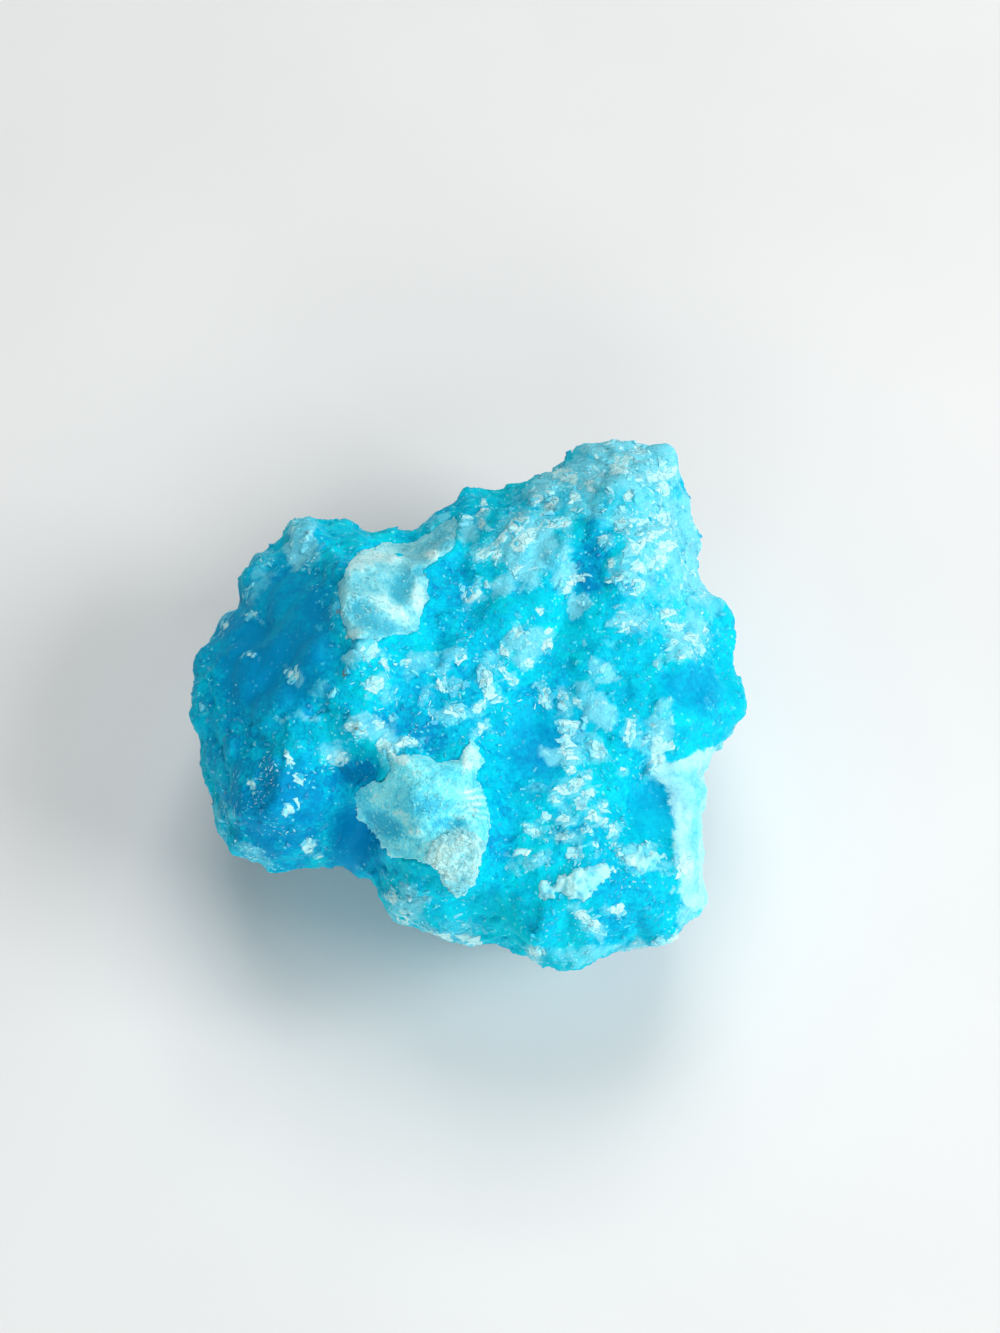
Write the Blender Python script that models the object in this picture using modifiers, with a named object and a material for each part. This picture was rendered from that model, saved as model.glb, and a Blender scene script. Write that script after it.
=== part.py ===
"""A rough piece of blue hemimorphite, one solid, resting on its broken underside. Metres, +Z up.

The stone is drawn on its best face, which looks up and forwards at FACE_ANGLE above the table. On that face
u runs to the right, v up and w straight out of it, in millimetres from the face's middle.
"""

import math

import bmesh
import bpy
import numpy as np
from mathutils import Vector, noise

MM = 0.001

# Driving dimensions, in millimetres unless a name says otherwise
FACE_ANGLE = math.radians(60)
FACE_HEIGHT = 10.9
FRONT_BULGE = 8.6
BACK_BULGE = 12.5
RIM_LEAN = 0.33
ROUNDING = 0.78
FOOTPRINT_MIDDLE = (0.3, 1.5)

# The edge of the face, from the tip of its upper left corner round by the right
OUTLINE = [
    (-10.2, 12.0), (-9.2, 11.4), (-7.5, 11.6), (-6.7, 11.1), (-3.6, 11.2), (-1.2, 12.9), (0.0, 13.8),
    (3.6, 14.1), (6.0, 15.2), (7.0, 16.1), (9.9, 17.1), (12.2, 17.2), (13.1, 16.7), (13.5, 15.6),
    (13.5, 13.8), (14.1, 12.0), (14.6, 9.8), (14.8, 8.1), (16.3, 5.4), (16.4, 3.1), (16.7, 0.6),
    (16.6, -0.4), (15.3, -2.4), (14.2, -4.5), (13.8, -6.8), (14.1, -9.6), (14.1, -12.1), (12.7, -13.0),
    (12.0, -13.8), (8.9, -14.5), (5.0, -15.4), (3.3, -14.6), (2.0, -13.8), (-1.1, -13.6), (-3.8, -12.9),
    (-5.4, -10.5), (-7.7, -9.4), (-12.2, -9.2), (-14.3, -8.2), (-14.8, -7.0), (-15.5, -4.6), (-16.4, -2.6),
    (-16.7, 0.6), (-16.7, 2.3), (-15.3, 4.8), (-14.2, 6.3), (-14.1, 8.2), (-12.0, 10.4), (-11.2, 11.6),
]

# Broad forms of the face: where, the two half widths, the turn in degrees, and how far out they stand
FORMS = {
    "left_ridge": (-6.5, 6.0, 3.2, 7.5, 8, 2.4),
    "left_shoulder": (-8.8, 0.5, 3.6, 3.6, 0, 1.3),
    "lower_left_lobe": (-11.2, -5.6, 4.0, 3.6, 0, 2.6),
    "lower_left_valley": (-6.6, -8.0, 1.9, 3.4, -25, -4.6),
    "crust_seat": (-2.0, -6.2, 4.2, 4.6, 20, 1.9),
    "dark_pit": (-7.0, -3.3, 1.7, 1.3, 20, -2.4),
    "upper_right_crest": (10.6, 10.6, 4.6, 5.2, -35, 2.3),
    "upper_right_gully": (6.2, 6.2, 1.5, 4.6, -22, -1.5),
    "right_shoulder": (13.6, 1.2, 3.4, 3.4, 0, 1.6),
    "middle_hollow": (3.2, -3.2, 2.6, 4.4, -15, -1.7),
    "lower_right_hollow": (10.2, -5.2, 2.6, 3.0, 0, -1.9),
    "side_ridge": (13.0, -6.8, 1.1, 4.6, 4, 1.9),
    "front_lobe": (6.6, -11.0, 4.6, 3.0, 10, 1.7),
    "front_notch": (2.0, -13.4, 1.5, 2.2, 20, -1.8),
    "top_notch": (-3.6, 10.6, 2.2, 1.8, 0, -2.2),
}

# Pale crusts that stand on the face: their outlines, from the left round by the top, and their thickness
UPPER_CRUST = [
    (-7.3, 7.0), (-6.8, 8.0), (-5.6, 9.0), (-4.3, 9.4), (-2.8, 9.7), (-1.8, 10.4), (-0.6, 11.0), (-0.3, 10.2),
    (-0.7, 9.0), (-2.0, 8.0), (-2.4, 7.4), (-2.1, 6.8), (-2.0, 5.9), (-2.5, 5.1), (-2.6, 4.1), (-3.7, 4.1),
    (-4.5, 3.8), (-5.5, 3.0), (-6.3, 2.3), (-7.2, 2.3), (-6.7, 3.5), (-7.2, 4.5), (-7.3, 5.6),
]
FRONT_CRUST = [
    (-6.3, -4.9), (-5.7, -4.5), (-4.4, -3.5), (-3.9, -2.8), (-2.6, -2.6), (-1.4, -3.1), (-0.5, -3.1),
    (0.2, -1.7), (0.9, -2.6), (1.1, -3.4), (0.4, -4.7), (1.2, -4.9), (1.6, -6.2), (1.4, -7.9), (0.7, -9.9),
    (-0.1, -11.0), (-1.1, -10.7), (-1.9, -9.3), (-3.4, -8.9), (-4.6, -8.5), (-5.3, -7.4), (-6.1, -6.4),
]
CRUSTS = [(UPPER_CRUST, 0.9), (FRONT_CRUST, 1.0)]
CRUST_EDGE = 0.35

# Relief of the broken skin: how far apart its features lie, and how high they stand
LEDGE_SPACING, LEDGE_HEIGHT, LEDGE_SEED = 5.5, 0.9, 17
KNOB_SPACING, KNOB_HEIGHT, KNOB_TOP, KNOB_ROUNDNESS = 2.3, 0.8, 0.15, 1.6
GRIT_SPACING, GRIT_HEIGHT = 1.1, 0.22

SPHERE_STEPS = 7
SKIN_VOXEL = 0.42
KEEP_SHARE = 0.172
CUTTER_SIZE = 60.0


def rim_radii(angles):
    """How far the outline lies from the middle of the face, in each direction."""
    u, v = np.array(OUTLINE).T
    return np.interp(angles, np.arctan2(v, u), np.hypot(u, v), period=2 * math.pi)


def form_height(u, v):
    """The broad forms added up, each a soft mound or hollow with an oval foot."""
    total = np.zeros(len(u))
    for middle_u, middle_v, half_u, half_v, turn, height in FORMS.values():
        turn = math.radians(turn)
        along = (u - middle_u) * math.cos(turn) + (v - middle_v) * math.sin(turn)
        across = (v - middle_v) * math.cos(turn) - (u - middle_u) * math.sin(turn)
        total += height * np.exp(-((along / half_u) ** 2 + (across / half_v) ** 2))
    return total


def crust_height(u, v):
    """The thickness of the pale crusts, which end in a steep edge."""
    total = np.zeros(len(u))
    for outline, thickness in CRUSTS:
        inside = np.zeros(len(u), bool)
        nearest = np.full(len(u), np.inf)
        for (u0, v0), (u1, v1) in zip(outline, outline[1:] + outline[:1]):
            if v0 != v1:
                crossing = u0 + (v - v0) * (u1 - u0) / (v1 - v0)
                inside ^= ((v0 > v) != (v1 > v)) & (u < crossing)
            share = ((u - u0) * (u1 - u0) + (v - v0) * (v1 - v0)) / ((u1 - u0) ** 2 + (v1 - v0) ** 2)
            share = np.clip(share, 0, 1)
            nearest = np.minimum(nearest, np.hypot(u - u0 - share * (u1 - u0), v - v0 - share * (v1 - v0)))
        total += thickness * inside * np.clip(nearest / CRUST_EDGE, 0, 1)
    return total


def face_shape(directions):
    """Each direction of a sphere, moved to its place on the stone: columns u, v and w."""
    flat = np.hypot(directions[:, 0], directions[:, 1])
    angles = np.arctan2(directions[:, 1], directions[:, 0])
    reach = rim_radii(angles) * flat ** ROUNDING
    u = reach * np.cos(angles)
    v = reach * np.sin(angles)
    front = np.clip(directions[:, 2], 0, 1) ** ROUNDING * (FRONT_BULGE + form_height(u, v))
    back = np.clip(-directions[:, 2], 0, 1) ** ROUNDING * BACK_BULGE
    crust = crust_height(u, v) * (directions[:, 2] > 0)
    return np.stack([u, v, front + crust - back - RIM_LEAN * v], axis=1)


def skin_relief(place):
    """How far the broken skin stands out at a place, in millimetres: tilted ledges, round knobs and grit."""
    distances, centres = noise.voronoi(place / LEDGE_SPACING)
    tilt = noise.cell_vector(centres[0] * LEDGE_SEED) * 2 - Vector((1, 1, 1))
    ledge = tilt.dot(place / LEDGE_SPACING - centres[0]) * LEDGE_HEIGHT
    distances, centres = noise.voronoi(place / KNOB_SPACING)
    knob = (KNOB_TOP - distances[0] ** 2 * KNOB_ROUNDNESS) * KNOB_HEIGHT
    grit = noise.noise(place / GRIT_SPACING) * GRIT_HEIGHT
    return ledge + knob + grit


def on_table(place):
    """A place on the face, in millimetres, as a point of the stone where it rests, in metres."""
    u, v, w = place
    forwards = v * math.sin(FACE_ANGLE) - w * math.cos(FACE_ANGLE)
    height = FACE_HEIGHT + v * math.cos(FACE_ANGLE) + w * math.sin(FACE_ANGLE)
    return Vector((u - FOOTPRINT_MIDDLE[0], forwards - FOOTPRINT_MIDDLE[1], height)) * MM


def stone_mesh():
    """The whole skin of the stone, before it is evened out and cut flat below."""
    shape = bmesh.new()
    bmesh.ops.create_icosphere(shape, subdivisions=SPHERE_STEPS, radius=1)
    shape.verts.ensure_lookup_table()
    directions = np.array([vertex.co for vertex in shape.verts])
    for vertex, place in zip(shape.verts, face_shape(directions)):
        vertex.co = place
    for vertex in shape.verts:
        outward = vertex.co.normalized()
        vertex.co = on_table(vertex.co + outward * skin_relief(vertex.co))
    mesh = bpy.data.meshes.new("hemimorphite")
    shape.to_mesh(mesh)
    shape.free()
    return mesh


def blue_stone():
    material = bpy.data.materials.new("blue_hemimorphite")
    material.use_nodes = True
    shader = material.node_tree.nodes["Principled BSDF"]
    shader.inputs["Base Color"].default_value = (0.01, 0.38, 0.60, 1)
    shader.inputs["Roughness"].default_value = 0.45
    shader.inputs["Metallic"].default_value = 0.0
    return material


def add_collection(name):
    collection = bpy.data.collections.new(name)
    bpy.context.scene.collection.children.link(collection)
    return collection


def table_cutter(collection):
    """Everything below the table, which takes the lowest bumps of the underside off flat."""
    bpy.ops.mesh.primitive_cube_add(size=CUTTER_SIZE * MM, location=(0, 0, -CUTTER_SIZE * MM / 2))
    cutter = bpy.context.object
    cutter.name = "below_the_table"
    for user in cutter.users_collection:
        user.objects.unlink(cutter)
    collection.objects.link(cutter)
    cutter.hide_render = True
    cutter.display_type = "WIRE"
    return cutter


def build_stone(collection, cutter):
    stone = bpy.data.objects.new("hemimorphite", stone_mesh())
    collection.objects.link(stone)
    stone.data.materials.append(blue_stone())
    skin = stone.modifiers.new("even_skin", "REMESH")
    skin.mode = "VOXEL"
    skin.voxel_size = SKIN_VOXEL * MM
    fewer = stone.modifiers.new("fewer_faces", "DECIMATE")
    fewer.ratio = KEEP_SHARE
    rest = stone.modifiers.new("resting_face", "BOOLEAN")
    rest.operation = "DIFFERENCE"
    rest.object = cutter
    return stone


for leftover in list(bpy.data.objects):
    bpy.data.objects.remove(leftover)
cutters = add_collection("cutters")
hemimorphite = add_collection("hemimorphite_crystal")
build_stone(hemimorphite, table_cutter(cutters))
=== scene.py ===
# %% [markdown]
# # A rough piece of blue hemimorphite
#
# The object is one stone, about 34 mm wide, that was broken from a larger mass. Its body is waxy and
# saturated blue, a little light goes into it, and its skin is a mix of smooth lobes and sugary patches.
# Two pale crusts, a pale vein, white knobs and hundreds of small white crystals sit on it.
#
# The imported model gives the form. This script dresses it: a finer skin, the crusts as plates with
# broken edges, and the crystals as real little solids.

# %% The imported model
import math

import bmesh
import bpy
import numpy as np
from mathutils import Matrix, Vector, noise
from mathutils.bvhtree import BVHTree


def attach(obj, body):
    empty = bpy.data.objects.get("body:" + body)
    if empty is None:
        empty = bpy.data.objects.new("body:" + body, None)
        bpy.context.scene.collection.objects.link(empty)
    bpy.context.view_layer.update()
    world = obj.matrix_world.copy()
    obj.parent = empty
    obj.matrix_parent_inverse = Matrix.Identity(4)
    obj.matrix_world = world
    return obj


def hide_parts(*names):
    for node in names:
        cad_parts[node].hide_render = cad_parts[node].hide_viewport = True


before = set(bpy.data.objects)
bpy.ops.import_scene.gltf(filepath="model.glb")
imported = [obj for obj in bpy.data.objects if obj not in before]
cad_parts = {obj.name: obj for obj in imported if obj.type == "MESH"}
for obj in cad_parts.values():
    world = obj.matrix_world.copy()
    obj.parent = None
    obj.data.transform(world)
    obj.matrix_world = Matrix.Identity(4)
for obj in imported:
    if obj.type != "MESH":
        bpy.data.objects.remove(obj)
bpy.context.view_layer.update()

# %% [markdown]
# ## Where the eye is
#
# The photograph looks down on the stone at about 60 degrees. What is read from it is read in its pixels,
# so the script needs one honest camera: its place, its lens, and the pixel that shows the middle of the
# stone's best face. The same numbers then tell where any point of the stone is seen.

# %% The camera
MM = 0.001
FACE_ANGLE = math.radians(60)
FACE_MIDDLE = Vector((-0.3, -1.5, 10.9)) * MM
EYE_DISTANCE = 105.7 * MM
PHOTO_WIDE, PHOTO_TALL = 1000, 1333
FOCAL_PIXELS = 1700
MIDDLE_PIXEL = (465, 706)
SENSOR = 36
NEAREST = 1 * MM

TO_RIGHT = Vector((1, 0, 0))
TO_TOP = Vector((0, math.sin(FACE_ANGLE), math.cos(FACE_ANGLE)))
TO_EYE = Vector((0, -math.cos(FACE_ANGLE), math.sin(FACE_ANGLE)))
FACE_AXES = np.array([TO_RIGHT, TO_TOP, TO_EYE])
EYE = FACE_MIDDLE + TO_EYE * EYE_DISTANCE

camera = bpy.data.objects.new("camera", bpy.data.cameras.new("camera"))
bpy.context.scene.collection.objects.link(camera)
camera.data.sensor_width = SENSOR
camera.data.lens = SENSOR * FOCAL_PIXELS / PHOTO_TALL
camera.data.clip_start = NEAREST
facing = Matrix((TO_RIGHT, TO_TOP, TO_EYE)).transposed().to_4x4()
tip = Matrix.Rotation(math.atan((MIDDLE_PIXEL[1] - PHOTO_TALL / 2) / FOCAL_PIXELS), 4, "X")
swing = Matrix.Rotation(math.atan((MIDDLE_PIXEL[0] - PHOTO_WIDE / 2) / FOCAL_PIXELS), 4, "Y")
camera.matrix_world = Matrix.Translation(EYE) @ facing @ tip @ swing
bpy.context.scene.camera = camera
print("Lens", round(camera.data.lens, 1), "mm, eye", [round(v, 4) for v in EYE])

# %% Between the stone and the photograph
PIXEL = EYE_DISTANCE / FOCAL_PIXELS


def seen_at(points):
    """The photograph's pixels, x and y, where the eye sees some points, and how far they stand out."""
    across, up, out = FACE_AXES @ (points - np.array(FACE_MIDDLE)).T
    closer = EYE_DISTANCE / (EYE_DISTANCE - out)
    return MIDDLE_PIXEL[0] + across * closer / PIXEL, MIDDLE_PIXEL[1] - up * closer / PIXEL, out / MM


def sight_line(x, y):
    """The direction in which the eye sees a pixel."""
    spot = FACE_MIDDLE + TO_RIGHT * (x - MIDDLE_PIXEL[0]) * PIXEL - TO_TOP * (y - MIDDLE_PIXEL[1]) * PIXEL
    return (spot - EYE).normalized()


print("One pixel covers", round(PIXEL / MM, 4), "mm at the stone")

# %% [markdown]
# ## The skin
#
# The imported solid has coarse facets. A copy of it is welded, remeshed in small even squares and
# smoothed, which keeps its form, gives points for a fine relief, and leaves no long thin triangles.

# %% Smooth skin
WELD = 0.0005 * MM
SKIN_SQUARE = 0.22 * MM
SKIN_SMOOTHING = 7
ROUGH_NODE = "hemimorphite"


def finished_mesh(piece):
    """Turns the piece's modifiers into its mesh."""
    coarse = piece.data
    piece.data = bpy.data.meshes.new_from_object(piece.evaluated_get(bpy.context.evaluated_depsgraph_get()))
    piece.modifiers.clear()
    bpy.data.meshes.remove(coarse)
    piece.data.name = piece.name
    return piece


def new_piece(name, shape):
    """A piece at the origin with the mesh of a bmesh."""
    mesh = bpy.data.meshes.new(name)
    shape.to_mesh(mesh)
    shape.free()
    piece = bpy.data.objects.new(name, mesh)
    bpy.context.scene.collection.objects.link(piece)
    return piece


def remeshed(name, shape, square, smoothing):
    """A piece with a closed skin of even squares round the bmesh."""
    piece = new_piece(name, shape)
    even = piece.modifiers.new("even_squares", "REMESH")
    even.mode = "VOXEL"
    even.voxel_size = square
    soften = piece.modifiers.new("soften", "SMOOTH")
    soften.iterations = smoothing
    return finished_mesh(piece)


shape = bmesh.new()
shape.from_mesh(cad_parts[ROUGH_NODE].data)
bmesh.ops.remove_doubles(shape, verts=shape.verts, dist=WELD)
stone = remeshed("blue_stone", shape, SKIN_SQUARE, SKIN_SMOOTHING)
print("The skin has", len(stone.data.polygons), "squares")


# %% Reading and writing points
def places(mesh):
    """Where a mesh's points are."""
    values = np.empty(len(mesh.vertices) * 3)
    mesh.vertices.foreach_get("co", values)
    return values.reshape(-1, 3)


def directions(mesh):
    """Which way the skin faces at a mesh's points."""
    values = np.empty(len(mesh.vertices) * 3)
    mesh.vertex_normals.foreach_get("vector", values)
    return values.reshape(-1, 3)


def tree_of(mesh):
    """A tree that tells where a line meets a mesh."""
    return BVHTree.FromPolygons([v.co for v in mesh.vertices], [p.vertices[:] for p in mesh.polygons])


def move_points(mesh, points):
    """Puts a mesh's points elsewhere, and none of them below the table."""
    points[:, 2] = np.maximum(points[:, 2], 0)
    mesh.vertices.foreach_set("co", points.ravel())
    mesh.update()


def store(mesh, name, values):
    """Keeps one value for each point, for a material to read."""
    attribute = mesh.attributes.new(name, "FLOAT", "POINT")
    attribute.data.foreach_set("value", np.asarray(values, float).ravel())


smooth_points = places(stone.data)
smooth_normals = directions(stone.data)
pixel_x, pixel_y, standing_out = seen_at(smooth_points)
away = smooth_points - np.array(EYE)
towards_eye = -(smooth_normals * away).sum(1) / np.linalg.norm(away, axis=1)
solid = tree_of(stone.data)
print("The eye may see", int((towards_eye > 0).sum()), "of", len(smooth_points), "points")

# %% [markdown]
# ## The pale crusts' outlines
#
# Two pale crusts and a vein along the right edge are the first things one sees. Their outlines are read
# from the photograph in a few dozen corners each. Fine scallops come from noise, not from more corners.
# Blender's vector noise starts from the clock, so it gets a seed, which makes every run the same.

# %% Outlines of the crusts, in the photograph's pixels
UPPER_CRUST = [
    (337, 582), (346, 566), (354, 555), (368, 547), (384, 542), (402, 541), (417, 538), (435, 527),
    (455, 513), (460, 525), (453, 550), (440, 557), (431, 566), (425, 571), (428, 582), (430, 600),
    (422, 615), (419, 634), (408, 636), (399, 633), (389, 638), (377, 644), (366, 640), (354, 640),
    (347, 636), (342, 625), (339, 608),
]
FRONT_CRUST = [
    (354, 791), (366, 784), (384, 776), (390, 765), (381, 745), (398, 754), (419, 752), (440, 761),
    (458, 760), (465, 745), (469, 735), (480, 748), (486, 762), (478, 776), (486, 793), (492, 814),
    (489, 842), (480, 853), (477, 873), (468, 890), (455, 896), (445, 886), (435, 867), (424, 864),
    (409, 859), (392, 858), (381, 848), (373, 832), (363, 825), (355, 818),
]
SIDE_VEIN = [
    (645, 752), (650, 738), (662, 728), (666, 744), (668, 762), (676, 760), (690, 752), (712, 744),
    (730, 740), (730, 905), (688, 908), (676, 900), (674, 878), (671, 850), (670, 820), (668, 792),
    (660, 782), (648, 772),
]
SCALLOP_SPACING, SCALLOP_DEPTH = 9, 3.5
FINE_SCALLOP_SPACING, FINE_SCALLOP_SHARE, FINE_SCALLOP_LAYER = 3.5, 0.5, 5
SCALLOP_SEED = 7
PAST_THE_EDGE, FAR_BEHIND, FAR_OUTSIDE = -0.1, -6, -50.0
noise.seed_set(SCALLOP_SEED)


def inside_outline(x, y, outline):
    """How far each pixel is inside an outline, in pixels: less than 0 outside it."""
    inside = np.zeros(len(x), bool)
    nearest = np.full(len(x), np.inf)
    for (x0, y0), (x1, y1) in zip(outline, outline[1:] + outline[:1]):
        if y0 != y1:
            inside ^= ((y0 > y) != (y1 > y)) & (x < x0 + (y - y0) * (x1 - x0) / (y1 - y0))
        share = ((x - x0) * (x1 - x0) + (y - y0) * (y1 - y0)) / ((x1 - x0) ** 2 + (y1 - y0) ** 2)
        share = np.clip(share, 0, 1)
        nearest = np.minimum(nearest, np.hypot(x - x0 - share * (x1 - x0), y - y0 - share * (y1 - y0)))
    return np.where(inside, nearest, -nearest)


def scalloped(x, y, spacing=SCALLOP_SPACING, depth=SCALLOP_DEPTH):
    """The pixels pushed about a little, which scallops whatever is drawn with them."""
    broad = [noise.noise_vector((a / spacing, b / spacing, 0)) for a, b in zip(x, y)]
    fine_x, fine_y = x / FINE_SCALLOP_SPACING, y / FINE_SCALLOP_SPACING
    fine = [noise.noise_vector((a, b, FINE_SCALLOP_LAYER)) for a, b in zip(fine_x, fine_y)]
    shift = np.array(broad) + FINE_SCALLOP_SHARE * np.array(fine)
    return x + shift[:, 0] * depth, y + shift[:, 1] * depth


near_crust = (towards_eye > PAST_THE_EDGE) & (standing_out > FAR_BEHIND)
crust_depth = np.full(len(smooth_points), FAR_OUTSIDE)
crust_x, crust_y = scalloped(pixel_x, pixel_y)
for outline in (UPPER_CRUST, FRONT_CRUST):
    crust_depth = np.maximum(crust_depth, inside_outline(crust_x, crust_y, outline))
crust_depth[~near_crust] = FAR_OUTSIDE
print("Points under a crust:", int((crust_depth > 0).sum()))

# %% [markdown]
# ## The relief of the skin
#
# A broken mass of this mineral has small tilted facets about a millimetre wide, and is sugary below that.
# The facets are cells of Voronoi noise, each with a slope of its own, so their edges are crisp. Where a
# crust sits, the skin is lowered, so that the crust's plate, made later, has an edge of its own. What the
# photograph shows is used on the side that faces it, a little past its outline, and fades there.

# %% Facets and hollows
FACET_SPACING, FACET_HEIGHT = 1.3, 0.22
LUMP_SPACING, LUMP_HEIGHT = 2.6, 0.20
GRAIN_SPACING, GRAIN_HEIGHT = 0.55, 0.08
CRUST_SINK, CRUST_SINK_SLOPE, CRUST_MARGIN, STEEPEST_SINK = 1.0, 12.0, 0.34, 0.45
VEIN_LIFT, VEIN_SLOPE = 0.22, 9.0
VEIN_FADE, VEIN_REACH, VEIN_RAGGED = 1.8, 0.5, 0.5
FRONT_FADE, FRONT_REACH, FRONT_BACK = 5, 0.6, -9
SKIN_SWELL = 0.04
SMOOTHED = 0.75
SMOOTH_LOBES = [
    (275, 640, 75, 95), (352, 835, 26, 48), (655, 810, 32, 42), (690, 690, 40, 28), (540, 740, 45, 50),
]


def noise_spots(points, spacing, seed):
    """The points as noise reads them: in spacings, and moved along by a seed."""
    return [Vector(point) / spacing + Vector((seed, seed, seed)) for point in points]


def cell_tops(points, spacing, seed=0.0):
    """High in the middle of a cell of Voronoi noise, and falling to 0 and below at its edges."""
    nearest = [noise.voronoi(spot)[0][0] for spot in noise_spots(points, spacing, seed)]
    return np.array([0.75 - 1.5 * distance ** 2 for distance in nearest])


def tilted_facets(points, spacing, seed=0.0):
    """Cells of Voronoi noise, each sloping its own way, from about -1 to 1."""
    heights = []
    for spot in noise_spots(points, spacing, seed):
        centre = noise.voronoi(spot)[1][0]
        slope = noise.cell_vector(centre * 17) * 2 - Vector((1, 1, 1))
        heights.append(slope.dot(spot - centre))
    return np.array(heights)


def soft_noise(points, spacing, seed=0.0):
    """Smooth noise from about -1 to 1."""
    return np.array([noise.noise(spot) for spot in noise_spots(points, spacing, seed)])


def hidden_patches(spacing, seed, gain, start, most):
    """Patches of noise, from 0 to most, on the sides that the photograph doesn't show."""
    return np.clip(soft_noise(points_mm, spacing, seed) * gain - start, 0, most) * (1 - front)


def oval(x, y, middle_x, middle_y, half_x, half_y, turn=0):
    """1 in the middle of an oval, 0 at its edge, less than 0 outside."""
    along = (x - middle_x) * math.cos(turn) - (y - middle_y) * math.sin(turn)
    across = (y - middle_y) * math.cos(turn) + (x - middle_x) * math.sin(turn)
    return 1 - np.hypot(along / half_x, across / half_y)


points_mm = smooth_points / MM
front = np.clip(towards_eye * FRONT_FADE + FRONT_REACH, 0, 1) * (standing_out > FRONT_BACK)
smoothness = hidden_patches(7, 3, 3, 0, 1)
for lobe in SMOOTH_LOBES:
    smoothness = np.maximum(smoothness, np.clip(oval(pixel_x, pixel_y, *lobe) * 2.5, 0, 1) * front)
roughness = 1 - SMOOTHED * smoothness
ragged = soft_noise(points_mm, 2.0, 41) * VEIN_RAGGED
vein = inside_outline(crust_x, crust_y, SIDE_VEIN) * PIXEL / MM
vein = np.minimum(vein, VEIN_REACH + towards_eye * VEIN_FADE + ragged)
relief = tilted_facets(points_mm, FACET_SPACING) * FACET_HEIGHT * roughness
relief += cell_tops(points_mm, LUMP_SPACING, 9.5) * LUMP_HEIGHT
relief += tilted_facets(points_mm, GRAIN_SPACING, 4.5) * GRAIN_HEIGHT * roughness
relief += VEIN_LIFT / (1 + np.exp(-VEIN_SLOPE * vein))
sink = CRUST_SINK / (1 + np.exp(-CRUST_SINK_SLOPE * (crust_depth * PIXEL / MM - CRUST_MARGIN)))
sink /= np.clip(towards_eye, STEEPEST_SINK, 1)
skin_points = smooth_points + smooth_normals * ((relief + SKIN_SWELL - sink) * MM)[:, None]
move_points(stone.data, skin_points)
print("Relief from", round(relief.min(), 2), "to", round(relief.max(), 2), "mm")
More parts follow.
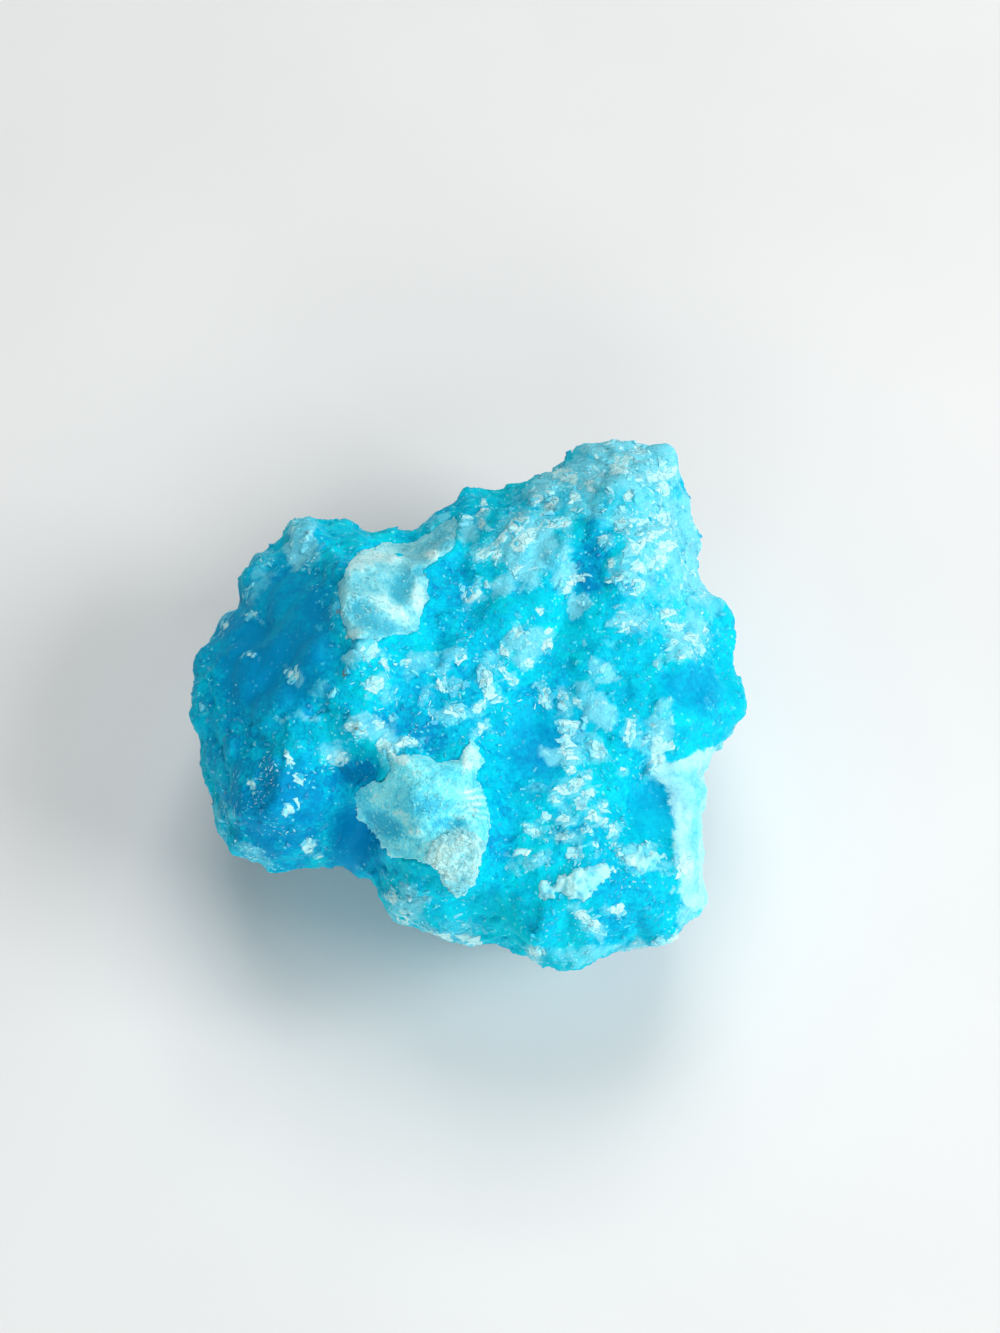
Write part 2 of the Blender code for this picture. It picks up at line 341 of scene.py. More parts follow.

# %% [markdown]
# ## Pale patches, deep blue with painted shade, and chalky patches
#
# The blue is not even. Thin or cloudy places are pale, hollows and the shaded left lobe are a deeper, darker
# blue, which is painted shade and partly the stone's own deeper blue, and the skin is chalky round clusters
# of white crystals. Where the photograph shows it, patches are ovals read from it.
# On the other sides noise of the same size draws them. Pale places also stand out a little, as rounded
# lumps. The patches are kept as one value a point, and the finish breaks up their edges.

# %% Patches, in the photograph's pixels: middle, half sizes, turn in degrees, strength
PALE_PATCHES = [
    (470, 535, 15, 14, 30, 0.8), (500, 587, 14, 13, 0, 0.8), (524, 572, 24, 17, -40, 0.9),
    (566, 570, 16, 19, 0, 0.9), (581, 606, 11, 16, -50, 0.9), (600, 478, 48, 20, 35, 0.8),
    (636, 470, 34, 30, 0, 0.8), (662, 520, 30, 36, 0, 0.8), (640, 570, 26, 36, 0, 0.7),
    (690, 636, 36, 30, 0, 0.62), (632, 620, 26, 14, 0, 0.8), (601, 673, 22, 11, -25, 0.8),
    (602, 711, 23, 17, -30, 0.85), (563, 754, 30, 12, -5, 0.85), (526, 643, 26, 18, 10, 0.8),
    (458, 685, 18, 9, 0, 0.75), (410, 668, 20, 16, 0, 0.55), (448, 716, 16, 12, 0, 0.7),
    (640, 738, 20, 20, 0, 0.6), (575, 812, 40, 34, 0, 0.35), (632, 854, 20, 14, 0, 0.8),
    (522, 864, 18, 8, 20, 0.6), (648, 866, 30, 12, 0, 0.6), (590, 950, 46, 12, 12, 0.6),
    (642, 944, 34, 9, 14, 1.0), (688, 915, 16, 34, 10, 0.8), (676, 940, 24, 12, 30, 0.8),
    (540, 950, 20, 16, 0, 0.5), (460, 925, 34, 12, -10, 0.5), (410, 905, 20, 26, -30, 0.7),
    (430, 925, 20, 10, -20, 0.6), (300, 718, 24, 8, 0, 0.65), (321, 692, 16, 12, 0, 0.5),
    (358, 656, 20, 12, 35, 0.8), (303, 545, 20, 32, 0, 0.75), (258, 575, 16, 24, 0, 0.35),
    (250, 852, 42, 16, -20, 0.55), (222, 815, 12, 36, 0, 0.4), (205, 690, 12, 50, 0, 0.3),
    (370, 728, 30, 12, -20, 0.75), (392, 745, 18, 16, -50, 0.8), (385, 690, 16, 18, 0, 0.5),
    (708, 700, 10, 14, 0, 0.3), (340, 605, 9, 30, 0, 0.35), (435, 520, 24, 8, 40, 0.6),
    (610, 492, 56, 34, 30, 0.6), (700, 600, 26, 40, 0, 0.5), (664, 540, 46, 84, 10, 0.62),
    (530, 545, 44, 40, 0, 0.75), (655, 610, 50, 34, 0, 0.5), (430, 668, 26, 12, 30, 0.5),
    (657, 661, 9, 14, 0, 0.7), (661, 711, 11, 11, 0, 0.7), (656, 742, 16, 30, 0, 0.8),
    (540, 794, 18, 15, 0, 0.5), (563, 807, 14, 10, 0, 0.6), (563, 822, 12, 10, 0, 0.6),
    (623, 771, 10, 9, 0, 0.55), (530, 861, 22, 10, 10, 0.7), (447, 661, 10, 22, -35, 0.65),
    (425, 696, 10, 16, 0, 0.6), (585, 690, 12, 16, 0, 0.6), (573, 740, 14, 22, 0, 0.6),
    (470, 712, 12, 16, 0, 0.5), (612, 660, 12, 30, 20, 0.3), (541, 600, 12, 10, 0, 0.4),
    (493, 664, 12, 22, 20, 0.5), (548, 490, 40, 14, 20, 0.75), (585, 470, 30, 12, 20, 0.8),
    (694, 560, 18, 62, 12, 0.85), (262, 575, 18, 40, -20, 0.5), (628, 450, 62, 20, -8, 0.85),
    (672, 462, 22, 30, 0, 0.8), (690, 512, 16, 34, 12, 0.8), (716, 590, 14, 30, 12, 0.6),
    (568, 470, 30, 12, 28, 0.6), (235, 830, 26, 34, 0, 0.3), (640, 525, 40, 26, 0, 0.7),
]
# Deeper, darker blue for the hollows and the shaded left lobe: painted shade, partly the stone's own deeper
# blue.
DEEP_AND_SHADE_PATCHES = [
    (355, 845, 34, 50, -15, 0.75), (352, 775, 30, 16, 10, 1.0), (590, 562, 15, 46, -10, 1.0),
    (330, 620, 22, 80, -15, 0.35), (290, 800, 46, 50, 0, 1.1), (545, 720, 44, 60, 0, 0.3),
    (655, 815, 30, 44, 0, 0.1), (450, 590, 26, 50, 0, 0.4), (470, 640, 40, 30, 0, 0.45),
    (430, 735, 30, 16, 0, 0.7), (695, 690, 44, 30, 0, 0.25), (280, 805, 64, 60, 0, 1.0),
    (500, 830, 16, 60, 0, 0.45), (360, 560, 30, 14, 0, 0.45), (240, 690, 60, 120, 0, 0.6),
    (300, 640, 60, 110, 0, 0.5), (395, 720, 40, 20, 0, 0.6), (450, 690, 60, 40, 0, 0.35),
    (417, 735, 16, 10, 0, 0.95), (625, 905, 46, 40, 0, 0.3),
]
WHITE_CLUSTERS = [
    (483, 510, 9, 4, 65), (483, 526, 5, 4, 60), (518, 528, 14, 5, 35), (526, 540, 15, 6, 38),
    (499, 542, 7, 4, 50), (484, 555, 9, 6, 40), (497, 555, 6, 3, 60), (547, 513, 5, 3, 20),
    (556, 524, 15, 4, 5), (565, 477, 13, 7, -10), (472, 596, 10, 6, 35), (573, 579, 4, 5, 0),
    (584, 578, 5, 6, 0), (567, 590, 6, 4, 40), (620, 468, 12, 9, 60), (640, 452, 7, 5, 0),
    (664, 473, 11, 8, 35), (651, 477, 5, 6, 30), (662, 488, 6, 6, 0), (629, 498, 5, 6, 0),
    (620, 525, 6, 5, 50), (637, 524, 8, 5, 20), (658, 520, 10, 7, 25), (652, 537, 18, 3, 25),
    (632, 551, 9, 5, 20), (662, 547, 9, 6, 20), (655, 560, 10, 8, 30), (638, 567, 6, 7, 10),
    (634, 585, 8, 8, 0), (666, 615, 6, 4, 20), (617, 578, 6, 4, 0), (612, 563, 4, 4, 0),
    (690, 640, 8, 5, 10), (700, 650, 6, 5, 0), (683, 655, 9, 4, 20), (705, 632, 5, 4, 30),
    (676, 628, 8, 4, 15), (672, 645, 5, 4, 0), (516, 633, 6, 5, 80), (506, 652, 6, 5, -40),
    (547, 646, 7, 5, 60), (527, 663, 6, 4, 0), (503, 672, 10, 3, -55), (513, 682, 4, 4, 0),
    (486, 684, 17, 5, -70), (478, 708, 6, 4, 40), (480, 729, 9, 4, 50), (443, 686, 6, 4, 90),
    (456, 713, 9, 6, -45), (545, 697, 11, 5, -85), (564, 700, 9, 5, -65), (579, 703, 5, 3, 90),
    (569, 727, 10, 7, 0), (567, 742, 6, 6, 0), (596, 749, 10, 7, -55), (630, 733, 11, 5, 80),
    (628, 626, 12, 5, -10), (566, 790, 10, 5, -15), (580, 805, 6, 5, 90), (592, 818, 6, 5, 10),
    (562, 821, 7, 5, 0), (546, 817, 4, 4, 0), (611, 832, 5, 5, 0), (532, 833, 9, 4, -30),
    (565, 837, 10, 4, 0), (594, 847, 5, 4, 0), (575, 854, 6, 4, 0), (518, 853, 9, 3, 10),
    (580, 912, 8, 5, -30), (592, 922, 12, 4, -60), (615, 909, 9, 4, -10), (537, 949, 8, 5, -30),
    (289, 759, 9, 3, -70), (300, 779, 7, 4, -55), (254, 785, 6, 2.5, -85), (288, 809, 6, 6, 0),
    (308, 843, 7, 5, 40), (320, 854, 4, 3, 0), (298, 803, 4, 1.5, -60), (252, 657, 4, 2, 0),
    (228, 627, 5, 3, 40), (254, 616, 7, 3, 10), (295, 676, 6, 4, 60), (374, 685, 7, 7, 0),
    (384, 664, 8, 4, -70), (406, 663, 6, 5, 0), (356, 633, 7, 5, 0), (371, 652, 9, 5, 35),
    (356, 728, 12, 5, -10), (337, 758, 11, 9, 0), (388, 748, 12, 6, -50), (408, 742, 10, 5, 0),
    (378, 724, 8, 4, 0), (668, 745, 6, 5, 0), (395, 896, 8, 5, -40), (405, 915, 9, 5, -60),
    (440, 932, 14, 4, -15), (470, 937, 10, 4, -10), (655, 762, 16, 8, 90), (680, 866, 12, 6, 90),
    (650, 947, 14, 4, 14), (672, 938, 8, 4, 20), (628, 952, 8, 3, 8), (600, 958, 6, 3, 0),
    (534, 958, 6, 4, 20), (575, 785, 8, 5, 20), (588, 795, 6, 4, 0), (601, 808, 5, 4, 0),
    (585, 833, 5, 4, 0), (602, 824, 5, 4, 0), (555, 801, 5, 3, 0), (549, 834, 4, 3, 0), (570, 771, 6, 4, 0),
    (586, 777, 5, 3, 20), (612, 846, 4, 3, 0), (567, 756, 7, 4, -10), (540, 612, 5, 3, 0),
    (548, 632, 4, 3, 30), (498, 700, 4, 3, 0), (459, 660, 6, 4, 40), (552, 505, 9, 5, 40),
    (538, 500, 5, 4, 0), (575, 500, 6, 4, 30), (592, 487, 5, 4, 0), (604, 540, 5, 4, 20),
]
RUST_SPECKS = [
    (347, 673, 4, 3, 20, 1.0), (356, 727, 4, 3, 0, 0.7), (363, 730, 3, 2, 0, 0.5),
    (422, 562, 5, 3, 30, 0.45), (424, 577, 3, 5, 0, 0.5), (341, 612, 3, 4, 0, 0.5),
    (300, 803, 3, 2, 0, 0.4), (640, 452, 3, 2, 0, 0.3),
]
PATCH_BLUR, PATCH_REACH = 1.6, 0.35
PATCH_SPACING, PATCH_WANDER = 14, 11
PALE_LIFT = 0.14
CHALK_SPREAD, CHALK_STRENGTH = 1.15, 1.0
HALO_SPREAD, HALO_STRENGTH = 2.0, 0.6


def patches(x, y, ovals, share):
    """The strongest of the ovals at each pixel, from 0 to 1, on the side that the eye sees."""
    strongest = np.zeros(len(x))
    for middle_x, middle_y, half_x, half_y, turn, strength in ovals:
        depth = oval(x, y, middle_x, middle_y, half_x, half_y, math.radians(turn))
        strongest = np.maximum(strongest, np.clip(depth * PATCH_BLUR + PATCH_REACH, 0, 1) * strength)
    return strongest * share


def round_clusters(spread, strength):
    """Patches round the white clusters, some times as wide as they are."""
    return [(x, y, long * spread, wide * spread, turn, strength)
            for x, y, long, wide, turn in WHITE_CLUSTERS]


wander_x, wander_y = scalloped(pixel_x, pixel_y, PATCH_SPACING, PATCH_WANDER)
chalk = patches(crust_x, crust_y, round_clusters(CHALK_SPREAD, CHALK_STRENGTH), front)
pale = patches(wander_x, wander_y, PALE_PATCHES + round_clusters(HALO_SPREAD, HALO_STRENGTH), front)
cloudy = soft_noise(points_mm, 3.6, 21) * 1.5 + soft_noise(points_mm, 1.4, 23) * 0.8
cloudy += soft_noise(points_mm, 0.5, 25) * 0.5
pale += np.clip(cloudy - 0.05, 0, 0.8) * (1 - front)
# Deeper blue in the hollows and on the left lobe: painted shade, and partly the stone's own colour.
deep = patches(wander_x, wander_y, DEEP_AND_SHADE_PATCHES, front)
pale *= 1 - 0.75 * np.clip(deep * 2.5 - 1.6, 0, 1)
deep += hidden_patches(5.5, 33, 2.0, 0.2, 0.7)
chalk += np.clip(soft_noise(points_mm, 0.9, 51) * 3 - 0.75, 0, 1) * np.clip(pale * 2, 0, 1) * (1 - front)
rust = patches(pixel_x, pixel_y, RUST_SPECKS, front)
rust += hidden_patches(1.4, 71, 4, 2.3, 0.4)
skin_points += smooth_normals * (pale * PALE_LIFT * MM)[:, None]
move_points(stone.data, skin_points)
labels = ("pale", "deep", "sugar", "height", "vein", "chalk", "rust")
for label, values in zip(labels, (pale, deep, roughness, relief, vein, chalk, rust)):
    store(stone.data, label, values)
print("Mean pale", round(pale.mean(), 3), "mean deep", round(deep.mean(), 3))

# %% [markdown]
# ## Writing a finish
#
# A finish is arithmetic on sockets. Wrapping a socket in a small class lets the sums be written as
# Python expressions, and each operation adds its own Math node.


# %% Sums of sockets
class Amount:
    """A value in a finish's node tree, which can be added, multiplied and so on."""

    def __init__(self, finish, socket):
        self.finish, self.socket = finish, socket

    def maths(self, operation, *amounts):
        node = self.finish.node("Math", {"operation": operation}, dict(enumerate(amounts)))
        return Amount(self.finish, node.outputs[0])

    def __add__(self, other):
        return self.maths("ADD", self, other)

    __radd__ = __add__

    def __sub__(self, other):
        return self.maths("SUBTRACT", self, other)

    def __rsub__(self, other):
        return self.maths("SUBTRACT", other, self)

    def __mul__(self, other):
        return self.maths("MULTIPLY", self, other)

    def or_more(self, other):
        return self.maths("MAXIMUM", self, other)

    def limited(self):
        """Held between 0 and 1."""
        return self.maths("MINIMUM", self.or_more(0.0), 1.0)

    def step(self, start, end):
        """0 up to start, 1 from end on, and smooth between them."""
        settings = {"interpolation_type": "SMOOTHSTEP"}
        node = self.finish.node("MapRange", settings, {"Value": self, "From Min": start, "From Max": end})
        return Amount(self.finish, node.outputs[0])


class Finish:
    """A material whose nodes are added one call at a time."""

    def __init__(self, name, **constants):
        self.material = bpy.data.materials.new(name)
        self.material.use_nodes = True
        self.tree = self.material.node_tree
        self.shader = self.tree.nodes["Principled BSDF"]
        for socket, value in constants.items():
            self.shader.inputs[socket.replace("_", " ")].default_value = value

    def node(self, kind, settings, sockets):
        """A shader node, with its settings made first and its sockets given values or links."""
        node = self.tree.nodes.new("ShaderNode" + kind)
        for name, value in settings.items():
            if name == "stops":
                self.set_stops(node.color_ramp, value)
            else:
                setattr(node, name, value)
        for name, value in sockets.items():
            self.feed(node.inputs[name], value)
        return node

    def set_stops(self, ramp, stops):
        while len(ramp.elements) < len(stops):
            ramp.elements.new(0.5)
        for element, (place, colour) in zip(ramp.elements, stops):
            element.position = place
            element.color = (*colour, 1)

    def feed(self, socket, value):
        if isinstance(value, Amount):
            self.tree.links.new(value.socket, socket)
        elif isinstance(value, bpy.types.NodeSocket):
            self.tree.links.new(value, socket)
        elif isinstance(value, tuple) and len(value) == 3 and socket.type == "RGBA":
            socket.default_value = (*value, 1)
        else:
            socket.default_value = value

    def attribute(self, name):
        return Amount(self, self.node("Attribute", {"attribute_name": name}, {}).outputs["Fac"])

    def place(self):
        return self.node("TexCoord", {}, {}).outputs["Object"]

    def noise(self, size, detail=2.0, roughness=0.5, place=None):
        """Smooth noise whose features are about size metres wide."""
        sockets = {"Vector": place or self.place(), "Scale": 1 / size}
        sockets.update(Detail=detail, Roughness=roughness)
        return Amount(self, self.node("TexNoise", {}, sockets).outputs["Fac"])

    def bent(self, size, amount):
        """The place on the piece, pushed about by noise, which bends the edges of what is drawn with it."""
        push = self.node("TexNoise", {}, {"Vector": self.place(), "Scale": 1 / size}).outputs["Color"]
        settings = {"operation": "MULTIPLY_ADD"}
        node = self.node("VectorMath", settings, {0: push, 1: (amount, amount, amount), 2: self.place()})
        return node.outputs["Vector"]

    def drawn_out(self, place, turn, stretch):
        """A place for textures that are longer one way, at an angle above the stone's width."""
        settings = {"vector_type": "TEXTURE"}
        sockets = {"Vector": place, "Rotation": (0, 0, turn), "Scale": (stretch, 1, 1)}
        return self.node("Mapping", settings, sockets).outputs["Vector"]

    def mosaic(self, size, place):
        """Voronoi noise: a random value for each cell, and how far a spot is from its cell's middle."""
        cells = self.node("TexVoronoi", {}, {"Vector": place, "Scale": 1 / size})
        pick = self.node("SeparateColor", {}, {"Color": cells.outputs["Color"]}).outputs[0]
        return Amount(self, pick), Amount(self, cells.outputs["Distance"])

    def joints(self, size, place, width):
        """1 on the thin lines where cells of Voronoi noise meet, falling to 0 beside them."""
        settings = {"feature": "DISTANCE_TO_EDGE"}
        cells = self.node("TexVoronoi", settings, {"Vector": place, "Scale": 1 / size})
        return 1 - Amount(self, cells.outputs["Distance"]).step(0.0, width)

    def ramp(self, stops, amount):
        return self.node("ValToRGB", {"stops": stops}, {"Fac": amount}).outputs["Color"]

    def blend(self, share, first, second):
        """A colour between two colours."""
        return self.node("Mix", {"data_type": "RGBA"}, {"Factor": share, 6: first, 7: second}).outputs[2]

    def bump(self, height, distance, under=None):
        sockets = {"Height": height, "Distance": distance}
        if under is not None:
            sockets["Normal"] = under
        return self.node("Bump", {}, sockets).outputs["Normal"]

    def wear(self, **sockets):
        """Feeds the shader's own sockets."""
        for name, value in sockets.items():
            self.feed(self.shader.inputs[name.replace("_", " ")], value)


print("Finishes can be written")

# %% [markdown]
# ## The stone's finish
#
# Light goes a little way into this mineral, so the finish has an even subsurface share. Its colour runs
# from a deep blue, darkened by painted shade in the hollows and on the left lobe, to a clean sky blue, and
# to a milky pale blue in the patches. Mosaics of Voronoi cells with bent edges break it into crystals. The
# white ones are slabs that lie one way, with thin blue joints between them.

# %% Blue stone
# The first stop is the deep blue that the painted shade of hollows and the left lobe reaches.
BLUES = [(0.0, (0.000, 0.300, 0.590)), (0.45, (0.000, 0.540, 0.755)), (0.9, (0.000, 0.685, 0.800))]
MILKY_BLUE = (0.205, 0.735, 0.880)
BRIGHT_CYAN = (0.260, 0.910, 1.000)
CHALK = (0.580, 0.980, 0.985)
JOINT_TEAL = (0.020, 0.470, 0.640)
RUST = (0.210, 0.170, 0.110)
REFRACTION = 1.61
CRYSTAL_SIZE, SUGAR_SIZE, SLAB_SIZE = 0.7 * MM, 0.2 * MM, 0.42 * MM
SLAB_TURN, SLAB_STRETCH = math.radians(28), 2.0


def mineral(name, glow, reach, depth, gloss):
    """A finish of this mineral: how much light comes from inside it, from how deep, and its gloss."""
    return Finish(name, Subsurface_Weight=glow, Subsurface_Radius=reach, Subsurface_Scale=depth * MM,
                  IOR=REFRACTION, Specular_IOR_Level=gloss)


def stone_blue(finish, deep, lift):
    """The body's blue, from its cloudiness and a piece's own values. Its deepest blue is partly painted
    shade in hollows and on the left lobe.
    """
    cloudy = finish.noise(3.5 * MM, 4, 0.6)
    return finish.ramp(BLUES, (cloudy * 0.9 + lift - deep * 0.6 - 0.1).limited())


def blue_stone_finish():
    finish = mineral("blue_stone", 0.4, (0.9, 0.8, 0.8), 0.35, 0.035)
    pale, deep, vein = finish.attribute("pale"), finish.attribute("deep"), finish.attribute("vein")
    sugar, height, chalk = finish.attribute("sugar"), finish.attribute("height"), finish.attribute("chalk")
    fine = finish.noise(0.32 * MM, 3, 0.7)
    blotch = finish.noise(1.3 * MM, 2)
    bent = finish.bent(0.5 * MM, 0.35 * MM)
    crystal = finish.mosaic(CRYSTAL_SIZE, bent)[0]
    grain, grain_spread = finish.mosaic(SUGAR_SIZE, bent)
    slanted = finish.drawn_out(finish.bent(1.2 * MM, 0.5 * MM), SLAB_TURN, SLAB_STRETCH)
    slab = finish.mosaic(SLAB_SIZE, slanted)[0]
    # The relief's height lightens the blue on its high points and darkens it in its low ones: painted shade.
    lift = fine * 0.7 + crystal * sugar * 0.3 + grain * sugar * 0.3 + height * 0.3 - 0.42
    blue = stone_blue(finish, deep, lift)
    milk = (pale * 1.05 + blotch * 0.8 + fine * 0.3 + crystal * 0.1 - 0.92).step(0.0, 0.6) * 0.92
    colour = finish.blend(milk, blue, MILKY_BLUE)
    fleck = (grain + pale * 0.25 - 0.93).step(0.0, 0.05) * (1 - grain_spread.step(0.3, 0.5)) * sugar
    colour = finish.blend(fleck * 0.6, colour, BRIGHT_CYAN)
    streaky = fine * 0.7 + blotch * 0.8 - vein.step(0.5, 1.4) * 0.3 - 0.1
    veined = (vein + fine * 0.6 - 0.15).step(0.1, 0.35) * streaky
    chalky = (chalk * 1.2 + pale * 0.12 + slab * 0.45 + fine * 0.4 - 0.98).step(0.0, 0.35) * 0.9
    colour = finish.blend(veined.or_more(chalky), colour, CHALK)
    joint = finish.joints(SLAB_SIZE, slanted, 0.09) * (milk * 0.25).or_more(chalky * 0.6)
    colour = finish.blend(joint, colour, JOINT_TEAL)
    rusty = (finish.attribute("rust") + fine - 0.5).step(0.15, 0.6) * 0.8
    colour = finish.blend(rusty, colour, RUST)
    coarse = finish.bump(finish.noise(0.7 * MM, 4, 0.65), 0.06 * MM)
    stepped = finish.bump(slab * (chalky * 0.6 + 0.1) + crystal * sugar + grain * 0.5, 0.07 * MM, coarse)
    grainy = finish.bump((1 - grain_spread) * sugar - joint, 0.035 * MM, stepped)
    finish.wear(Base_Color=colour, Roughness=0.5 - fleck * 0.2 + fine * 0.1, Normal=grainy)
    return finish.material


stone.data.materials.clear()
stone.data.materials.append(blue_stone_finish())
stone.data.shade_smooth()
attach(stone, "root")
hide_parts(ROUGH_NODE)
print("The stone has", len(stone.data.vertices), "points")

# %% [markdown]
# ## The crusts
#
# Each pale crust is a plate with a broken, scalloped edge. A fine grid is laid over its outline as the
# eye sees it, squares outside are dropped, and the rest is dropped along the lines of sight onto the
# stone. It is then lifted, wrinkled, and extruded back into the stone, so its edge is a real wall.
# Ridges are whiter and hollows more teal, so one list of ovals gives both a plate's form and its tone.

# %% Plates
CREAM_LUMP = [
    (423, 853), (433, 842), (443, 832), (460, 826), (478, 833), (487, 845), (481, 862), (477, 880),
    (469, 892), (455, 899), (446, 888), (440, 874), (430, 866),
]
CRUST_FORMS = [
    (401, 588, 11, 17, -20, -0.9), (362, 613, 17, 12, -35, -0.8), (382, 628, 14, 9, 0, -0.5),
    (441, 538, 10, 12, 0, -0.2), (392, 610, 27, 9, -35, 0.7), (362, 560, 22, 13, 30, 0.6),
    (390, 556, 18, 9, 0, 0.6), (432, 555, 9, 6, 0, 0.9), (418, 597, 8, 15, 0, 0.8),
    (357, 634, 11, 5, 0, 0.7), (350, 590, 10, 16, 0, 0.3), (420, 571, 7, 5, 0, -0.8),
    (430, 806, 26, 11, 0, -0.5), (450, 823, 20, 6, 0, -0.7), (385, 823, 24, 11, -35, -0.9),
    (366, 800, 9, 14, 0, -0.3), (470, 757, 10, 16, 0, 0.8), (474, 790, 15, 2.2, 14, 0.5),
    (478, 797, 15, 2.2, 6, 0.5), (480, 804, 14, 2.2, -2, 0.5), (481, 811, 13, 2.2, -8, 0.55),
    (482, 817, 11, 2, -14, 0.5), (416, 832, 9, 6, 0, 0.6), (400, 812, 8, 5, 0, 0.3),
    (400, 757, 14, 7, -30, 0.7), (420, 780, 30, 14, 20, 0.1), (455, 858, 30, 26, 0, 0.8),
]
FORM_HEIGHT = 0.24
PLATE_SQUARE = 1.4
PLATE_ROOT = 2.2
PLATE_EDGE_FALL, PLATE_EDGE_WIDTH = 0.2, 2.5
EDGE_SMOOTHINGS = 3
WRINKLES = [(1.6, 0.12), (0.6, 0.06), (0.25, 0.03)]


def crust_tone(x, y):
    """From -1 in the teal hollows to 1 on the white ridges of the crusts."""
    tone = 0.0
    for middle_x, middle_y, half_x, half_y, turn, amount in CRUST_FORMS:
        depth = oval(x, y, middle_x, middle_y, half_x, half_y, math.radians(turn))
        tone += amount * max(0.0, min(1.0, depth * 1.5 + 0.3))
    return max(-1.0, min(1.0, tone))


def put_in_order(parts, place):
    """Sorts corners or faces by where they are, because an extrusion leaves them in a chance order."""
    for rank, part in enumerate(sorted(parts, key=lambda part: place(part)[:])):
        part.index = rank
    parts.sort()


def crust_plate(outline, lift):
    """A bmesh of a plate on the stone, inside an outline in the photograph's pixels."""
    xs, ys = zip(*outline)
    middle_x, middle_y = (min(xs) + max(xs)) / 2, (min(ys) + max(ys)) / 2
    half = max(max(xs) - min(xs), max(ys) - min(ys)) / 2 + SCALLOP_DEPTH
    steps = round(2 * half / PLATE_SQUARE)
    plate = bmesh.new()
    bmesh.ops.create_grid(plate, x_segments=steps, y_segments=steps, size=half)
    flat = np.array([vertex.co for vertex in plate.verts]) + (middle_x, middle_y, 0)
    moved_x, moved_y = scalloped(flat[:, 0], flat[:, 1])
    depth = inside_outline(moved_x, moved_y, outline)
    rim, tone = plate.verts.layers.float.new("rim"), plate.verts.layers.float.new("tone")
    outside = []
    for vertex, (x, y), inner in zip(plate.verts, flat[:, :2], depth):
        line = sight_line(x, y)
        hit = solid.ray_cast(EYE, line)[0]
        if inner < 0 or hit is None:
            outside.append(vertex)
            continue
        vertex[rim] = inner * PIXEL / MM
        vertex[tone] = crust_tone(x, y)
        fall = PLATE_EDGE_FALL * math.exp(-inner / PLATE_EDGE_WIDTH)
        wrinkle = sum(noise.noise(hit / MM / spacing) * height for spacing, height in WRINKLES)
        vertex.co = hit - line * (lift + wrinkle + vertex[tone] * FORM_HEIGHT - fall) * MM
    bmesh.ops.delete(plate, geom=outside, context="VERTS")
    loose = [vertex for vertex in plate.verts if not vertex.link_faces]
    bmesh.ops.delete(plate, geom=loose, context="VERTS")
    edge = [vertex for vertex in plate.verts if vertex.is_boundary]
    for repeat in range(EDGE_SMOOTHINGS):
        bmesh.ops.smooth_vert(plate, verts=edge, factor=0.5,
                              use_axis_x=True, use_axis_y=True, use_axis_z=True)
    back = bmesh.ops.extrude_face_region(plate, geom=plate.faces[:])["geom"]
    sunk = [part for part in back if isinstance(part, bmesh.types.BMVert)]
    bmesh.ops.translate(plate, verts=sunk, vec=-TO_EYE * PLATE_ROOT * MM)
    bmesh.ops.recalc_face_normals(plate, faces=plate.faces)
    put_in_order(plate.verts, lambda vertex: vertex.co)
    put_in_order(plate.faces, lambda face: face.calc_center_median())
    return plate


def crust_finish(name, stops, rim_white, clouds, speckle):
    """The finish of a crust, whose ramp goes from its hollows to its ridges."""
    finish = mineral(name, 0.4, (1.0, 0.8, 0.8), 0.5, 0.25)
    cloudy = finish.noise(1.4 * MM, 4, 0.65)
    fibre = finish.noise(0.3 * MM, 3, 0.6, finish.drawn_out(finish.bent(1.5 * MM, 0.8 * MM), 1.0, 2.6))
    grain = finish.noise(0.15 * MM, 2, 0.6)
    tone = finish.attribute("tone") * 0.45 + cloudy * clouds + fibre * 0.6 + grain * speckle
    tone = tone - (clouds + 0.6 + speckle) / 2 + 0.41
    rim = 1 - finish.attribute("rim").step(0.02, 0.16)
    colour = finish.blend(rim * rim_white, finish.ramp(stops, tone.limited()), CHALK)
    bump = finish.bump(fibre * 0.9 + grain * 0.9 + cloudy * 0.7, 0.09 * MM)
    finish.wear(Base_Color=colour, Roughness=0.42 + grain * 0.2, Normal=bump)
    return finish.material


TEAL_TO_WHITE = [
    (0.08, (0.04, 0.46, 0.62)), (0.34, (0.13, 0.62, 0.75)),
    (0.58, (0.30, 0.78, 0.84)), (0.9, (0.66, 0.97, 0.95)),
]
BLUE_TO_WHITE = [
    (0.08, (0.03, 0.52, 0.74)), (0.30, (0.10, 0.74, 0.90)),
    (0.52, (0.26, 0.90, 0.98)), (0.82, (0.66, 1.00, 0.98)),
]
PALE_TO_CREAM = [
    (0.16, (0.08, 0.54, 0.72)), (0.40, (0.22, 0.76, 0.86)),
    (0.60, (0.38, 0.88, 0.94)), (0.9, (0.60, 0.97, 0.93)),
]
teal_crust = crust_finish("teal_crust", TEAL_TO_WHITE, 0.6, 0.9, 0.5)
blue_crust = crust_finish("blue_crust", BLUE_TO_WHITE, 0.8, 0.9, 0.6)
cream_crust = crust_finish("cream_crust", PALE_TO_CREAM, 0.3, 1.4, 0.15)
crusts = []
CRUSTS = [
    ("upper_crust", UPPER_CRUST, 0.3, teal_crust, 400, (0.1, 0.3)),
    ("front_crust", FRONT_CRUST, 0.34, blue_crust, 600, (0.1, 0.3)),
    ("cream_lump", CREAM_LUMP, 0.6, cream_crust, 350, (0.2, 0.5)),
]
